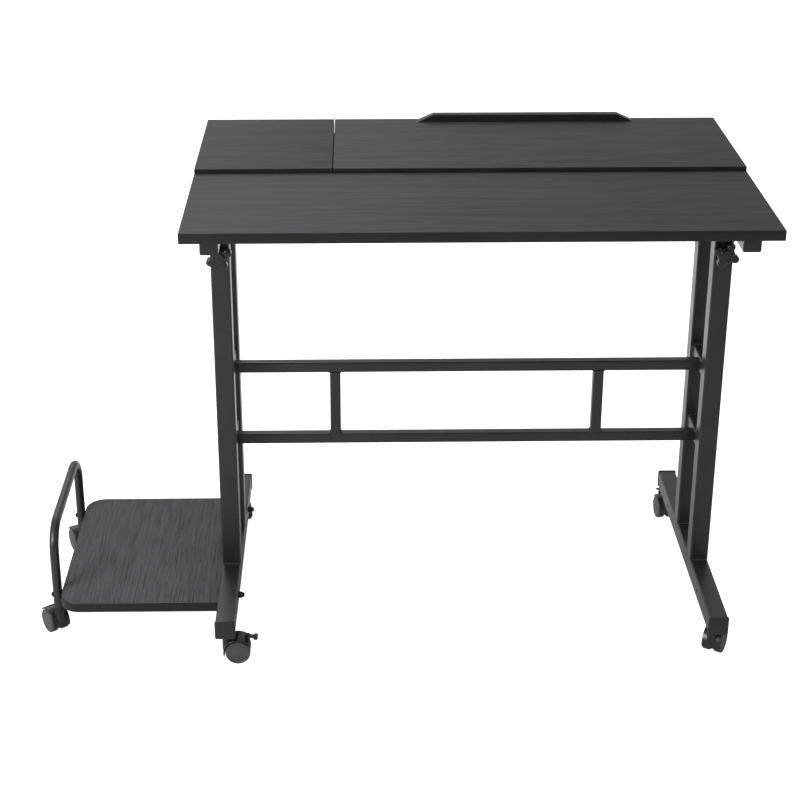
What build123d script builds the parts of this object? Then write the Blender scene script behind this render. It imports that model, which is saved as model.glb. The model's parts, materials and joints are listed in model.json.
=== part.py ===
"""Rolling drafting desk: two telescoping side frames, a fixed near board, a tilting drafting board with a
paper ledge, and a low computer shelf with a guard rail. Millimetres, +Z up, floor at Z = 0.

The desk is laid out about its own middle: X = 0 is midway between the side frames and Y = 0 is midway
between the boards' near and far edges. The last lines move everything so that the origin is the middle
of the footprint.
"""

from build123d import *
import os
from math import cos, radians, sin

# ---------------------------------------------------------------- driving dimensions
# Boards
desk_width = 800.0
near_board_depth = 248.0
rear_board_depth = 250.0
board_joint = 2.0  # gap between the near board and the two behind it
board_thickness = 15.0
board_edge_round = 1.0
desk_height = 700.0  # top of the near board at its lowest setting
rear_board_step = 6.5  # the rear boards stand this much higher
left_board_width = 200.0
tilt_board_gap = 1.0  # between the rear left board and the tilting board

# Side rails and cross bars under the boards
rail_size = 25.0
rail_wall = 1.5
rail_length = 450.0
frame_inset = 25.0  # from a board's end to the outer face of a side rail
end_cap_flange = 2.0
end_cap_plug = 10.0
cap_round_share = 0.4  # of a cap's flange
mid_bar_offset = 1.5  # middle bar beyond the middle of the joint between the boards

# Side frames
upright_size = 28.0
upright_wall = 1.2
upright_top = 632.0
upright_spacing = 112.0  # between the front and the rear upright's middles
upright_shift = 6.0  # the pair stands this far behind the boards' middle
slide_gap = 0.3  # round each inner leg
leg_wall = 1.5
leg_bottom = 130.0  # lower end of the inner legs at the lowest setting
tube_corner = 2.5
least_corner = 0.4  # inside corner of a thick-walled tube
collar_wall = 1.4
collar_height = 12.0
collar_lip = 2.0

# Feet
foot_size = 28.0
foot_wall = 1.5
foot_length = 450.0
foot_clearance = 11.5  # underside above the casters' necks
foot_cap_proud = 1.0
foot_cap_flange = 3.0
foot_bolt_spacing = 260.0
spare_bolt_hole = 7.0  # open holes in the right foot

# Stretcher between the side frames
stretcher_size = 16.0
stretcher_wall = 1.2
top_rail_middle = 393.0
bottom_rail_middle = 273.0
strut_offset = 200.0
cross_tube_size = 20.0
cross_tube_wall = 1.5
insert_length = 12.0
insert_setback = 1.0  # from a rail's end to its threaded insert
stretcher_bolt_bite = 16.0
stretcher_bolt_head_length = 4.0

# Star knobs
knob_height = 600.0
knob_radius = 20.0
knob_lobe_radius = 6.0
knob_core_radius = 12.5
knob_hollow_round = 2.0
knob_edge_round = 2.0
knob_thickness = 12.0
knob_boss_radius = 9.0
knob_boss_height = 3.0
knob_boss_round = 1.0
knob_nut_thickness = 6.0
knob_nut_flats = 13.0
knob_air = 2.0  # between the nut and the knob's head
stud_diameter = 8.0
stud_bite = 8.4  # into the knob's head
running_gap = 0.05  # radial, between a turning shaft and its hole

# Computer shelf and guard
shelf_width = 240.0
shelf_length = 320.0
shelf_thickness = 15.0
shelf_rise = 5.0  # top of the shelf above the feet's middle
shelf_corner = 30.0
guard_tube = 14.0
guard_wall = 1.5
guard_spacing = 240.0
guard_bend = 40.0
guard_middle = 179.0  # height of the bar's middle line
guard_clearance = 2.5  # lower ends above the casters' necks
shelf_bolt_diameter = 6.0
shelf_bolt_head = 10.0
shelf_bolt_head_length = 9.0
shelf_bolt_bite = 34.0
guard_screw_bite = 22.0

# Casters
wheel_diameter = 37.0
wheel_width = 11.3
wheel_edge = 1.5
wheel_rim = 3.5
wheel_recess = 0.6
axle_setback = 3.0  # each end of the axle stops this far inside the wheel's face
web_thickness = 5.0
web_gap = 0.7
web_disc_radius = 13.0
trail = 16.0
hood_gap = 1.2
hood_wall = 2.3
hood_half_width = 14.0
hood_front_angle = 192.0
hood_back_angle = 38.0
neck_diameter = 15.0
neck_length = 10.0  # above the stem's lower end
stem_diameter = 8.0
stem_drop = 0.5  # lower end below the top of the wheels
stem_nut_flats = 13.0
stem_nut_height = 4.0
stem_end_gap = 0.3
socket_roof = 1.0  # plastic above the stem
socket_diameter = 12.0
socket_flange = 2.0
socket_flange_diameter = 18.0
socket_height = 22.0
guard_socket_height = 14.0
axle_diameter = 5.0
front_caster_inset = 32.5
rear_caster_inset = 17.5
pedal_pivot_gap = 3.0  # beyond the hood's outer face
pedal_pivot_angle = 53.13  # round the axle from the trail's direction
pedal_knuckle = 2.7
pedal_pin = 2.4
pedal_arm = 8.0
pedal_tip_width = 15.0
pedal_reach = 14.5
pedal_plate = 2.6
pedal_drop_angle = 7.0
pedal_tip_depth = 6.0
pedal_tip_corner = 1.5
pedal_side_gap = 0.4
ear_thickness = 2.5
ear_foot_back = 6.0
ear_foot_front = 1.0
ear_foot_drop = 7.0

# Paper ledge
ledge_length = 341.0
ledge_height = 12.0
ledge_thickness = 14.0
ledge_end_slope = 26.0
ledge_setback = 6.0
ledge_middle = 99.0
ledge_corner_round = 7.2
ledge_edge_round = 1.5
ledge_screw_bite = 8.4

# Tilting hinge
hinge_length = 60.0
hinge_leaf = 2.0
hinge_leaf_depth = 21.0
hinge_barrel = 6.0
hinge_pin = 3.0
hinge_overhang = 4.0  # pin's middle beyond the end of the rails
hinge_knuckle_gap = 0.3
hinge_inset = 100.0  # from the tilting board's ends to the middle of a hinge
hinge_leaf_gap = 0.5  # between a leaf's plate and the barrel
fixed_leaf_screw_offset = 21.0  # from the middle of a hinge
moving_leaf_screw_offset = 9.0

# Fasteners
screw_diameter = 4.0
screw_head = 8.0
screw_head_height = 2.5
screw_bite = 10.0
screw_clearance = 0.4
leaf_screw_diameter = 3.5
leaf_screw_head = 6.5
leaf_screw_head_height = 1.2
leaf_screw_bite = 6.0
near_board_screws = (50.0, 140.0)  # behind the near edge, in the side rails
left_board_screws = (115.0, 190.0)  # behind the joint, in the left rail
left_board_bar_screw = 120.0  # from the left end, in the cross bars
mid_bar_screw_offset = 150.0  # from the middle, for the near board
mid_bar_screw_inset = 5.0
mid_bar_screw_edge = 6.0
bumper_size = 18.0
bumper_air = 0.2
seam_strip_width = 24.0  # under the seam beside the tilting board
strip_joint_gap = 5.0  # packing strips stand back from their neighbours by these gaps
strip_edge_gap = 1.0
strip_rail_gap = 10.0
strip_end_gap = 15.0
far_strip_width = 18.0
tool_reach = 20.0  # cutters run this far past the wall that they cut

# ---------------------------------------------------------------- places that follow from them
board_bottom = desk_height - board_thickness
rear_bottom = board_bottom + rear_board_step
rail_middle_z = board_bottom - rail_size / 2
rail_bottom = board_bottom - rail_size
rail_x = desk_width / 2 - frame_inset - rail_size / 2
near_edge = -(near_board_depth + board_joint)
near_board_back = near_edge + near_board_depth
rear_board_front = near_board_back + board_joint
far_edge = rear_board_front + rear_board_depth
wheel_radius = wheel_diameter / 2
hood_radius = wheel_radius + hood_gap + hood_wall
stem_bottom = wheel_diameter - stem_drop
neck_top = stem_bottom + neck_length
pedal_pivot = (
    # along the trail and up, from the floor under the stem
    trail + (hood_radius + pedal_pivot_gap) * cos(radians(pedal_pivot_angle)),
    wheel_radius + (hood_radius + pedal_pivot_gap) * sin(radians(pedal_pivot_angle)),
)
foot_height = neck_top + foot_clearance
foot_top = foot_height + foot_size
foot_middle_z = foot_height + foot_size / 2
shelf_top = foot_middle_z + shelf_rise
guard_bottom = neck_top + guard_clearance
upright_ys = {
    "front": upright_shift - upright_spacing / 2,
    "rear": upright_shift + upright_spacing / 2,
}
sides = {"left": -1, "right": 1}
leg_size = upright_size - 2 * upright_wall - 2 * slide_gap
cross_inner_x = rail_x - cross_tube_size / 2
shelf_inner_x = -(rail_x + foot_size / 2)
shelf_outer_x = shelf_inner_x - shelf_width
guard_x = shelf_outer_x - guard_tube / 2
mid_bar_y = near_board_back + board_joint / 2 + mid_bar_offset
far_bar_y = rail_length / 2 - rail_size / 2
pin_y = rail_length / 2 + hinge_overhang
pin_z = board_bottom + rear_board_step / 2
tilt_left = -desk_width / 2 + left_board_width + tilt_board_gap / 2
tilt_right = desk_width / 2
hinge_xs = [tilt_left + hinge_inset, tilt_right - hinge_inset]

caster_places = {
    # name: (x, y, direction of the trail in degrees from +X, has a brake)
    "front_left": (-rail_x, -foot_length / 2 + front_caster_inset, 0.0, True),
    "front_right": (rail_x, -foot_length / 2 + front_caster_inset, 61.0, True),
    "rear_left": (-rail_x, foot_length / 2 - rear_caster_inset, 110.0, True),
    "rear_right": (rail_x, foot_length / 2 - rear_caster_inset, 96.0, True),
    "shelf_front": (guard_x, -guard_spacing / 2, 126.0, False),
    "shelf_rear": (guard_x, guard_spacing / 2, 117.0, False),
}
knob_places = {
    # name: (side, row, angle of a lobe from +X in degrees)
    "front_left": ("left", "front", 28.0),
    "front_right": ("right", "front", 64.0),
    "rear_left": ("left", "rear", 40.0),
    "rear_right": ("right", "rear", 10.0),
}

nodes = {}


# ---------------------------------------------------------------- helpers
def square_tube(size, wall, length, along):
    """Square tube with rounded corners, its middle at the origin, along X, Y or Z."""
    outer = RectangleRounded(size, size, tube_corner)
    inner = RectangleRounded(size - 2 * wall, size - 2 * wall, max(tube_corner - wall, least_corner))
    plane = {"X": Plane.YZ, "Y": Plane.XZ, "Z": Plane.XY}[along]
    return extrude(plane * (outer - inner), amount=length / 2, both=True)


def rod(diameter, start, end):
    """Round bar between two points that differ along one axis only."""
    start, end = Vector(*start), Vector(*end)
    middle = (start + end) / 2
    plane = Plane(origin=middle, z_dir=(end - start).normalized())
    return extrude(plane * Circle(diameter / 2), amount=(end - start).length / 2, both=True)


def block(x, y, z):
    """Box from its lowest and highest value on each axis."""
    middle = [(low + high) / 2 for low, high in (x, y, z)]
    return Pos(*middle) * Box(x[1] - x[0], y[1] - y[0], z[1] - z[0])


def board(x, y, bottom, thickness, corner=0.0):
    """Laminate board with eased edges. A corner radius rounds its two corners on the low-X side."""
    slab = block(x, y, (bottom, bottom + thickness))
    if corner:
        slab = fillet(slab.edges().filter_by(Axis.Z).group_by(Axis.X)[0], corner)
    faces = slab.faces().sort_by(Axis.Z)
    return fillet(faces[0].edges() + faces[-1].edges(), board_edge_round)


def upward_screw(x, y, bottom, top):
    """Pan-head screw driven from below: the head's seat is at bottom, the tip at top."""
    shank = rod(screw_diameter, (x, y, bottom), (x, y, top))
    head = rod(screw_head, (x, y, bottom - screw_head_height), (x, y, bottom))
    return shank + head


def tube_end_cap(size, wall, proud, flange, along_y, x, y, z):
    """Cap on the end of a square tube that lies along Y. along_y is -1 at the near end, 1 at the far end."""
    width = size + 2 * proud
    plate = Pos(x, y + along_y * flange / 2, z) * Box(width, flange, width)
    plate = fillet(plate.edges().filter_by(Axis.Y), tube_corner)
    plate = fillet(plate.faces().sort_by(Axis.Y)[-1 if along_y > 0 else 0].edges(), flange * cap_round_share)
    plug_size = size - 2 * wall
    plug = RectangleRounded(plug_size, plug_size, max(tube_corner - wall, least_corner))
    plug = plug - RectangleRounded(plug_size - 2 * wall, plug_size - 2 * wall, least_corner)
    plug = extrude(Plane.XZ * plug, amount=end_cap_plug / 2, both=True)
    return plate + Pos(x, y - along_y * end_cap_plug / 2, z) * plug


# ---------------------------------------------------------------- feet and their caps
def make_feet():
    caps = []
    for side, sign in sides.items():
        x = sign * rail_x
        foot = Pos(x, 0, foot_middle_z) * square_tube(foot_size, foot_wall, foot_length, "Y")
        hole = spare_bolt_hole if side == "right" else shelf_bolt_diameter + screw_clearance
        for y in (-foot_bolt_spacing / 2, foot_bolt_spacing / 2):
            foot -= rod(hole, (x - foot_size, y, foot_middle_z), (x + foot_size, y, foot_middle_z))
        for stem_x, stem_y, _, _ in caster_places.values():
            if stem_x == x:
                start = (x, stem_y, foot_height - tool_reach)
                foot -= rod(socket_diameter, start, (x, stem_y, foot_middle_z))
        nodes[f"{side}_foot"] = [foot]
        for end in (-1, 1):
            place = (x, end * foot_length / 2, foot_middle_z)
            caps.append(tube_end_cap(foot_size, foot_wall, foot_cap_proud, foot_cap_flange, end, *place))
    nodes["foot_end_caps"] = caps


# ---------------------------------------------------------------- uprights, collars and knob nuts
def make_uprights():
    collars = []
    nuts = []
    height = upright_top - foot_top
    for side, sign in sides.items():
        for row, y in upright_ys.items():
            x = sign * rail_x
            out = -1 if row == "front" else 1
            face = y + out * upright_size / 2
            upright = Pos(x, y, foot_top + height / 2) * square_tube(upright_size, upright_wall, height, "Z")
            bore_end = (x, face + out * tool_reach, knob_height)
            bore = rod(stud_diameter + 2 * running_gap, (x, y, knob_height), bore_end)
            nodes[f"{side}_{row}_upright"] = [upright - bore]
            hexagon = RegularPolygon(knob_nut_flats / 2, 6, major_radius=False)
            nut = extrude(Plane.XZ * hexagon, amount=knob_nut_thickness / 2, both=True)
            nut = Pos(x, face + out * knob_nut_thickness / 2, knob_height) * nut
            nuts.append(nut - bore)
            collars.append(Pos(x, y, 0) * guide_collar())
    nodes["guide_collars"] = collars
    nodes["knob_nuts"] = nuts


def guide_collar():
    """Plastic ring over the top of an upright, with a lip that guides the inner leg."""
    outer_size = upright_size + 2 * collar_wall
    bottom = upright_top - collar_height
    ring = RectangleRounded(outer_size, outer_size, tube_corner + collar_wall)
    skirt = ring - RectangleRounded(upright_size, upright_size, tube_corner)
    hole = leg_size + 2 * slide_gap
    lip = ring - RectangleRounded(hole, hole, tube_corner)
    body = Pos(0, 0, bottom) * extrude(skirt, amount=collar_height)
    return body + Pos(0, 0, upright_top) * extrude(lip, amount=collar_lip)


# ---------------------------------------------------------------- stretcher
def make_stretcher():
    cross = []
    bolts = []
    gap = upright_spacing - upright_size
    for z in (top_rail_middle, bottom_rail_middle):
        for sign in sides.values():
            x = sign * rail_x
            tube = Pos(x, upright_shift, z) * square_tube(cross_tube_size, cross_tube_wall, gap, "Y")
            hole_size = shelf_bolt_diameter + screw_clearance
            hole = rod(hole_size, (x - tool_reach, 0, z), (x + tool_reach, 0, z))
            cross.append(tube - hole)
            outer = x + sign * cross_tube_size / 2
            tip = sign * (cross_inner_x - stretcher_bolt_bite)
            bolt = rod(shelf_bolt_diameter, (outer, 0, z), (tip, 0, z))
            head = rod(shelf_bolt_head, (outer + sign * stretcher_bolt_head_length, 0, z), (outer, 0, z))
            bolts.append(bolt + head)
    nodes["cross_tubes"] = cross
    nodes["stretcher_bolts"] = bolts
    for name, z in (("top", top_rail_middle), ("bottom", bottom_rail_middle)):
        rail = Pos(0, 0, z) * square_tube(stretcher_size, stretcher_wall, 2 * cross_inner_x, "X")
        inserts = [stretcher_insert(sign, z) for sign in sides.values()]
        nodes[f"stretcher_{name}_rail"] = [rail] + inserts
    strut_height = top_rail_middle - bottom_rail_middle - stretcher_size
    middle = (top_rail_middle + bottom_rail_middle) / 2
    strut = square_tube(stretcher_size, stretcher_wall, strut_height, "Z")
    nodes["stretcher_struts"] = [Pos(x, 0, middle) * strut for x in (-strut_offset, strut_offset)]


def stretcher_insert(sign, z):
    """Threaded plug welded in the end of a stretcher rail."""
    size = stretcher_size - 2 * stretcher_wall
    outline = RectangleRounded(size, size, max(tube_corner - stretcher_wall, least_corner))
    outline -= Circle(shelf_bolt_diameter / 2)
    plug = extrude(Plane.YZ * outline, amount=insert_length / 2, both=True)
    return Pos(sign * (cross_inner_x - insert_setback - insert_length / 2), 0, z) * plug


# ---------------------------------------------------------------- computer shelf and its guard
def make_shelf():
    shelf_bottom = shelf_top - shelf_thickness
    half = shelf_length / 2
    x_range = (shelf_outer_x, shelf_inner_x)
    shelf = board(x_range, (-half, half), shelf_bottom, shelf_thickness, shelf_corner)
    bolts = []
    for y in (-foot_bolt_spacing / 2, foot_bolt_spacing / 2):
        z = foot_middle_z
        tip = shelf_inner_x - shelf_bolt_bite
        seat = -(rail_x - foot_size / 2)
        shank = rod(shelf_bolt_diameter, (seat, y, z), (tip, y, z))
        bolts.append(shank + rod(shelf_bolt_head, (seat, y, z), (seat + shelf_bolt_head_length, y, z)))
        shelf -= rod(shelf_bolt_diameter, (shelf_inner_x + tool_reach, y, z), (tip, y, z))
    guard = guard_hoop()
    screws = []
    shelf_middle = shelf_bottom + shelf_thickness / 2
    outside = guard_x - guard_tube / 2
    for y in (-guard_spacing / 2, guard_spacing / 2):
        tip = shelf_outer_x + guard_screw_bite
        shank = rod(screw_diameter, (outside, y, shelf_middle), (tip, y, shelf_middle))
        head = rod(screw_head, (outside - screw_head_height, y, shelf_middle), (outside, y, shelf_middle))
        screws.append(shank + head)
        start = (shelf_outer_x - tool_reach, y, shelf_middle)
        shelf -= rod(screw_diameter, start, (tip, y, shelf_middle))
        guard -= rod(screw_diameter + screw_clearance, start, (shelf_outer_x + tool_reach, y, shelf_middle))
    nodes["cpu_shelf"] = [shelf]
    nodes["shelf_bolts"] = bolts
    nodes["shelf_guard"] = [guard]
    nodes["guard_screws"] = screws


def guard_hoop():
    """Round tube bent into an upside-down U that stands on two casters."""
    half = guard_spacing / 2
    corners = [
        (guard_x, -half, guard_bottom),
        (guard_x, -half, guard_middle),
        (guard_x, half, guard_middle),
        (guard_x, half, guard_bottom),
    ]
    path = FilletPolyline(*corners, radius=guard_bend)
    ring = Circle(guard_tube / 2) - Circle(guard_tube / 2 - guard_wall)
    section = Plane(origin=corners[0], z_dir=(0, 0, 1)) * ring
    return sweep(section, path=path)


# ---------------------------------------------------------------- casters
def make_casters():
    stems = []
    sockets = []
    for name, (x, y, angle, braked) in caster_places.items():
        under_guard = x == guard_x
        seat = guard_bottom if under_guard else foot_height
        bore = guard_tube - 2 * guard_wall if under_guard else socket_diameter
        flange = guard_tube if under_guard else socket_flange_diameter
        depth = guard_socket_height if under_guard else socket_height
        socket = rod(bore, (x, y, seat), (x, y, seat + depth))
        socket += rod(flange, (x, y, seat - socket_flange), (x, y, seat))
        socket -= rod(stem_diameter, (x, y, seat - tool_reach), (x, y, seat + depth - socket_roof))
        sockets.append(socket)
        stem = rod(stem_diameter, (x, y, stem_bottom), (x, y, seat + depth - socket_roof))
        if not under_guard:
            hexagon = RegularPolygon(stem_nut_flats / 2, 6, major_radius=False)
            nut_z = seat - socket_flange - stem_nut_height
            stem += Pos(x, y, nut_z) * extrude(hexagon, amount=stem_nut_height)
        stems.append(stem)
        place = Pos(x, y, 0) * Rot(0, 0, angle)
        nodes[f"caster_{name}_housing"] = [place * solid for solid in caster_housing(braked)]
        nodes[f"caster_{name}_wheels"] = [place * solid for solid in caster_wheels()]
        if braked:
            nodes[f"caster_{name}_brake"] = [place * brake_pedal()]
    nodes["caster_stems"] = stems
    nodes["caster_sockets"] = sockets


def around_axle(radius, half_width):
    """Solid cylinder about the wheels' axle, for a caster whose stem is at the origin and trails along +X."""
    return Pos(trail, 0, wheel_radius) * extrude(Plane.XZ * Circle(radius), amount=half_width, both=True)


def caster_housing(braked):
    """Hood over both wheels, web between them and neck round the stem, with ears for a pedal."""
    inner = wheel_radius + hood_gap
    shell = around_axle(hood_radius, hood_half_width) - around_axle(inner, hood_half_width + tool_reach)
    fan = [(0, 0)]
    for i in range(4):
        angle = radians(hood_back_angle + (hood_front_angle - hood_back_angle) * i / 3)
        fan.append((3 * hood_radius * cos(angle), 3 * hood_radius * sin(angle)))
    wedge = Plane.XZ * make_face(Polyline(*fan, close=True))
    wedge = extrude(wedge, amount=hood_half_width + tool_reach, both=True)
    wedge = Pos(trail, 0, wheel_radius) * wedge
    shell = shell & wedge
    web = around_axle(inner + hood_wall / 2, web_thickness / 2) & wedge
    web += around_axle(web_disc_radius, web_thickness / 2)
    neck = rod(neck_diameter, (0, 0, wheel_radius), (0, 0, neck_top))
    neck -= around_axle(inner, hood_half_width) - around_axle(inner, web_thickness / 2)
    housing = shell + web + neck
    stem_hole = stem_diameter + 2 * running_gap
    housing -= rod(stem_hole, (0, 0, stem_bottom - stem_end_gap), (0, 0, neck_top + tool_reach))
    housing -= around_axle(axle_diameter / 2 + running_gap, web_thickness)
    solids = [housing]
    if braked:
        x, z = pedal_pivot
        ear_inner = pedal_arm / 2 + pedal_side_gap
        ear_outer = ear_inner + ear_thickness
        pin = rod(pedal_pin, (x, -ear_outer, z), (x, ear_outer, z))
        for low, high in ((-ear_outer, -ear_inner), (ear_inner, ear_outer)):
            ear = rod(2 * pedal_knuckle, (x, low, z), (x, high, z))
            foot = block((x - ear_foot_back, x + ear_foot_front), (low, high), (z - ear_foot_drop, z))
            housing += (ear + foot) - around_axle(inner + hood_wall / 2, hood_half_width)
        housing -= pin
        solids = [housing, pin]
    return solids


def caster_wheels():
    """Two wheels pressed on one axle."""
    start = web_thickness / 2 + web_gap
    end = start + wheel_width
    solids = []
    axle_end = end - axle_setback
    for sign in (-1, 1):
        middle = sign * (start + end) / 2
        wheel = extrude(Plane.XZ * Circle(wheel_radius), amount=wheel_width / 2, both=True)
        wheel = fillet(wheel.edges(), wheel_edge)
        recess = extrude(Plane.XZ * Circle(wheel_radius - wheel_rim), amount=wheel_recess, both=True)
        wheel -= Pos(0, sign * wheel_width / 2, 0) * recess
        wheel = Pos(trail, middle, wheel_radius) * wheel
        solids.append(wheel - around_axle(axle_diameter / 2, axle_end))
    solids.append(around_axle(axle_diameter / 2, axle_end))
    return solids


def brake_pedal():
    """Lever between the hood's ears, pressed down by the toe."""
    x, z = pedal_pivot
    knuckle = rod(2 * pedal_knuckle, (0, -pedal_arm / 2, 0), (0, pedal_arm / 2, 0))
    top = pedal_knuckle
    arm = block((0, pedal_reach), (-pedal_arm / 2, pedal_arm / 2), (top - pedal_plate, top))
    tip_x = (pedal_reach - pedal_tip_depth, pedal_reach)
    tip = block(tip_x, (-pedal_tip_width / 2, pedal_tip_width / 2), (top - pedal_plate, top))
    tip = fillet(tip.edges().filter_by(Axis.Z), pedal_tip_corner)
    lever = knuckle + arm + tip
    lever -= rod(pedal_pin + 2 * running_gap, (0, -pedal_arm, 0), (0, pedal_arm, 0))
    return Pos(x, 0, z) * Rot(0, pedal_drop_angle, 0) * lever


# ---------------------------------------------------------------- star knobs
def make_knobs():
    for name, (side, row, lobe_angle) in knob_places.items():
        x = sides[side] * rail_x
        out = -1 if row == "front" else 1
        face = upright_ys[row] + out * upright_size / 2
        turn = 0 if row == "front" else 180
        place = Pos(x, face, knob_height) * Rot(0, 0, turn)
        nodes[f"knob_{name}"] = [place * solid for solid in star_knob(lobe_angle)]


def star_knob(lobe_angle):
    """Four-lobed head on a threaded stud, in front of an upright's face at Y = 0."""
    start = knob_nut_thickness + knob_air
    outline = Circle(knob_core_radius)
    arm = knob_radius - knob_lobe_radius
    for i in range(4):
        angle = radians(lobe_angle + 90 * i)
        outline += Pos(arm * cos(angle), arm * sin(angle)) * Circle(knob_lobe_radius)
    outline = fillet(outline.vertices(), knob_hollow_round)
    head = Pos(0, -start, 0) * extrude(Plane.XZ * outline, amount=knob_thickness)
    head = fillet(head.faces().sort_by(Axis.Y)[0].edges(), knob_edge_round)
    front = start + knob_thickness
    boss = rod(2 * knob_boss_radius, (0, -front, 0), (0, -front - knob_boss_height, 0))
    boss = fillet(boss.faces().sort_by(Axis.Y)[0].edges(), knob_boss_round)
    stud = rod(stud_diameter, (0, upright_wall, 0), (0, -start - stud_bite, 0))
    return [head + boss - stud, stud]


# ---------------------------------------------------------------- frame under the boards
def make_top_frame():
    rails = {}
    caps = []
    for side, sign in sides.items():
        x = sign * rail_x
        rails[side] = Pos(x, 0, rail_middle_z) * square_tube(rail_size, rail_wall, rail_length, "Y")
        for end in (-1, 1):
            y = end * rail_length / 2
            caps.append(tube_end_cap(rail_size, rail_wall, 0, end_cap_flange, end, x, y, rail_middle_z))
        for row, y in upright_ys.items():
            length = rail_bottom - leg_bottom
            leg = square_tube(leg_size, leg_wall, length, "Z")
            nodes[f"{side}_{row}_leg"] = [Pos(x, y, leg_bottom + length / 2) * leg]
    bar_length = 2 * rail_x - rail_size
    bars = {}
    for name, y in (("mid", mid_bar_y), ("far", far_bar_y)):
        bars[name] = Pos(0, y, rail_middle_z) * square_tube(rail_size, rail_wall, bar_length, "X")
    strips = spacer_strips()
    full_width = (-desk_width / 2, desk_width / 2)
    front_board = board(full_width, (near_edge, near_board_back), board_bottom, board_thickness)
    left_end = -desk_width / 2 + left_board_width - tilt_board_gap / 2
    rear_left = board((-desk_width / 2, left_end), (rear_board_front, far_edge), rear_bottom, board_thickness)
    screws = []
    for x, y, target in top_screw_places():
        tip = (board_bottom if target == "front" else rear_bottom) + screw_bite
        screws.append(upward_screw(x, y, rail_bottom, tip))
        hole = rod(screw_diameter + screw_clearance, (x, y, rail_bottom - 1), (x, y, rear_bottom))
        thread = rod(screw_diameter, (x, y, board_bottom - 1), (x, y, tip))
        rails = {side: rail - hole for side, rail in rails.items()}
        bars = {name: bar - hole for name, bar in bars.items()}
        strips = [strip - hole for strip in strips]
        if target == "front":
            front_board -= thread
        else:
            rear_left -= thread
    for x, y in leaf_screw_places(fixed=True):
        screw = leaf_screw(x, y, board_bottom + hinge_leaf, board_bottom - leaf_screw_bite)
        screws.append(screw)
        bars["far"] -= screw
    nodes["front_board"] = [front_board]
    nodes["rear_left_board"] = [rear_left]
    nodes["left_rail"] = [rails["left"]]
    nodes["right_rail"] = [rails["right"]]
    nodes["mid_cross_bar"] = [bars["mid"]]
    nodes["far_cross_bar"] = [bars["far"]]
    nodes["rail_end_caps"] = caps
    nodes["spacer_strips"] = strips
    nodes["top_screws"] = screws
    nodes["bumper_pads"] = bumper_pads()


def top_screw_places():
    """Screws from below: (x, y, which board)."""
    places = []
    for sign in sides.values():
        places += [(sign * rail_x, near_edge + depth, "front") for depth in near_board_screws]
        places.append((sign * mid_bar_screw_offset, near_board_back - mid_bar_screw_inset, "front"))
    places += [(-rail_x, rear_board_front + depth, "left") for depth in left_board_screws]
    x = -desk_width / 2 + left_board_bar_screw
    places.append((x, mid_bar_y + rail_size / 2 - mid_bar_screw_edge, "left"))
    places.append((x, far_bar_y, "left"))
    return places


def spacer_strips():
    """Packing that carries the fixed rear left board level with the tilting board.

    The last strip closes the seam between the two from below and lets the tilting one lift off.
    """
    z = (board_bottom, rear_bottom)
    rail = (-rail_x - rail_size / 2, -rail_x + rail_size / 2)
    inner_end = -desk_width / 2 + left_board_width - strip_end_gap
    start = rail[1] + strip_rail_gap
    far_strip = (far_bar_y - far_strip_width / 2, far_bar_y + far_strip_width / 2)
    mid_edge = mid_bar_y + rail_size / 2
    seam_x = -desk_width / 2 + left_board_width
    seam_strip = (seam_x - seam_strip_width / 2, seam_x + seam_strip_width / 2)
    back = (rear_board_front + strip_edge_gap, rail_length / 2)
    return [
        block(rail, (rear_board_front + strip_joint_gap, rail_length / 2), z),
        block((start, inner_end), (rear_board_front + strip_edge_gap, mid_edge), z),
        block((start, inner_end), far_strip, z),
        block(seam_strip, back, (board_bottom, rear_bottom - bumper_air)),
    ]


def bumper_pads():
    """Soft pads that the tilting board rests on when it lies flat."""
    z = (board_bottom, rear_bottom - bumper_air)
    half = bumper_size / 2
    on_bar = (rear_board_front + strip_edge_gap, mid_bar_y + rail_size / 2)
    xs = (*hinge_xs, (hinge_xs[0] + hinge_xs[1]) / 2)
    pads = [block((x - half, x + half), on_bar, z) for x in xs]
    rail_y = rear_board_front + rear_board_depth / 2
    pads.append(block((rail_x - half, rail_x + half), (rail_y - bumper_size, rail_y), z))
    return pads


# ---------------------------------------------------------------- tilting board
def leaf_screw_places(fixed):
    offset = fixed_leaf_screw_offset if fixed else moving_leaf_screw_offset
    return [(x + sign * offset, far_bar_y) for x in hinge_xs for sign in (-1, 1)]


def leaf_screw(x, y, seat, tip):
    """Small screw whose head is sunk in a hinge leaf at seat. It also cuts its own hole."""
    up = 1 if tip > seat else -1
    head = rod(leaf_screw_head, (x, y, seat), (x, y, seat + up * leaf_screw_head_height))
    return head + rod(leaf_screw_diameter, (x, y, seat), (x, y, tip))


def knuckle_ranges(fixed):
    """Stretches of the hinge's length that carry the fixed or the moving knuckles."""
    half = hinge_length / 2
    inner = hinge_length / 4
    if fixed:
        return [(-half, -inner - hinge_knuckle_gap), (inner + hinge_knuckle_gap, half)]
    return [(-inner, inner)]


def hinge_leaves(fixed):
    leaves = []
    bore = hinge_pin / 2 if fixed else hinge_pin / 2 + running_gap
    bottom = board_bottom if fixed else rear_bottom - hinge_leaf
    edge = pin_y - hinge_barrel / 2 - hinge_leaf_gap
    for middle in hinge_xs:
        back = edge - hinge_leaf_depth
        z = (bottom, bottom + hinge_leaf)
        leaf = block((middle - hinge_length / 2, middle + hinge_length / 2), (back, edge), z)
        for low, high in knuckle_ranges(fixed):
            x = (middle + low, middle + high)
            leaf += block(x, (edge, pin_y), z)
            leaf += rod(hinge_barrel, (x[0], pin_y, pin_z), (x[1], pin_y, pin_z))
        leaf -= rod(2 * bore, (middle - hinge_length, pin_y, pin_z), (middle + hinge_length, pin_y, pin_z))
        leaves.append(leaf)
    return leaves


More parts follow.
